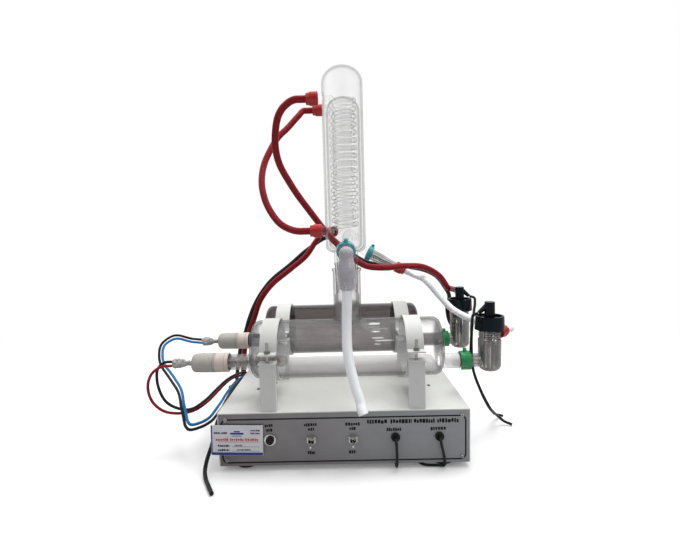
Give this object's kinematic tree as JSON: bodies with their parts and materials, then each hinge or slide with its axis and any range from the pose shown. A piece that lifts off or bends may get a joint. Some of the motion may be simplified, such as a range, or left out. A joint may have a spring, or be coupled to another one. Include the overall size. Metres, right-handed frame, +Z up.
{
  "type": "double distillation still",
  "caption": "Bench-top glass water still: two horizontal boilers clamped on a sheet-metal control box, each with an upright coil condenser, a plug-in heater and a float level sensor.",
  "frame": {"origin": "middle of the control box footprint, on the plane the rubber feet stand on", "axes": "+X to the right seen from the control panel, +Y from the panel to the back, +Z up"},
  "size_m": [0.7006, 0.44, 0.652],
  "materials": {
    "coat": "satin warm off-white powder coat",
    "panel": "brushed, with a printed black border",
    "plated": "bright zinc plate",
    "dark_steel": "dull zinc plate",
    "feet": "matt black",
    "lever": "bright chrome",
    "button": "black, semi-gloss",
    "cable": "black sheath",
    "plate": null,
    "board": "green solder mask",
    "standoff": "turned",
    "relay": "moulded, dark grey",
    "core": "varnished laminations",
    "block": "ivory moulding",
    "liner": "thin milky silicone",
    "glass": "clear borosilicate glass",
    "sheath": "fused quartz, slightly clouded",
    "element": "dull resistance wire",
    "collar": "unglazed, pinkish beige",
    "ceramic": "unglazed, grey beige",
    "sleeve": "whitish glass-fibre sleeve",
    "wire_red": "silicone-covered wire, one red and one black",
    "wire_blue": "silicone-covered wire, one blue and one black",
    "clip_green": "translucent green",
    "cap_black": "black, semi-matt",
    "float": "polished stainless steel",
    "cap_red": "red screw cap",
    "nozzle": "off-white",
    "clip_teal": "translucent teal",
    "adaptor": "pale translucent, front lavender, rear clear",
    "hose_red": "deep crimson with a soft sheen",
    "hose_dark": "dark drain hose",
    "tube_white": "milky silicone"
  },
  "bodies": {
    "still": {"base_tray": "coat", "top_cover": "coat", "front_panel": "panel", "rear_panel": "panel", "panel_screws": "plated", "cover_screws": "plated", "top_screws": "dark_steel", "feet": "feet", "foot_screws": "plated", "toggle_bodies": "plated", "toggle_nuts": "plated", "button_bezel": "lever", "panel_glands": "button", "panel_leads": "cable", "nameplate": "plate", "control_board": "board", "board_standoffs": "standoff", "heater_relays": "relay", "transformer": "core", "terminal_block": "block", "fuse_holder": "button", "side_grommets": "cable", "mains_cord": "cable", "posts": "coat", "lower_bands": "coat", "upper_bands": "coat", "band_liners": "liner", "clamp_bolts": "plated", "clamp_nuts": "dark_steel", "front_boiler": "glass", "rear_boiler": "glass", "front_condenser": "glass", "rear_condenser": "glass", "cooling_coils": "glass", "vapour_tubes": "glass", "heater_sheaths": "sheath", "heater_elements": "element", "heater_collars": "collar", "heater_caps": "ceramic", "lead_sleeves": "sleeve", "front_heater_wires": "wire_red", "rear_heater_wires": "wire_blue", "sensor_elbows": "glass", "sensor_clips": "clip_green", "sensor_caps": "cap_black", "sensor_heads": "cap_black", "sensor_cables": "cable", "hose_caps": "cap_red", "hose_nozzles": "nozzle", "outlet_clips": "clip_teal", "outlet_adaptors": "adaptor", "cooling_hoses": "hose_red", "drain_hose": "hose_dark", "distillate_tube": "tube_white", "outlet_tube": "tube_white"},
    "toggle_left": {"toggle_lever_left": "lever"},
    "toggle_right": {"toggle_lever_right": "lever"},
    "button": {"push_button": "button"},
    "front_level": {"front_float": "float"},
    "rear_level": {"rear_float": "float"}
  },
  "joints": [
    {"name": "toggle_left_tilt", "type": "hinge", "parent": "still", "child": "toggle_left", "pos_m": [-0.052, -0.154, 0.051], "axis": [-1, 0, 0], "range_deg": [0, 26]},
    {"name": "toggle_right_tilt", "type": "hinge", "parent": "still", "child": "toggle_right", "pos_m": [0.015, -0.154, 0.051], "axis": [-1, 0, 0], "range_deg": [0, 26]},
    {"name": "button_press", "type": "slide", "parent": "still", "child": "button", "axis": [0, 1, 0], "range_m": [0, 0.0025]},
    {"name": "front_float_lift", "type": "slide", "parent": "still", "child": "front_level", "axis": [0, 0, 1], "range_m": [0, 0.012]},
    {"name": "rear_float_lift", "type": "slide", "parent": "still", "child": "rear_level", "axis": [0, 0, 1], "range_m": [0, 0.012]}
  ]
}
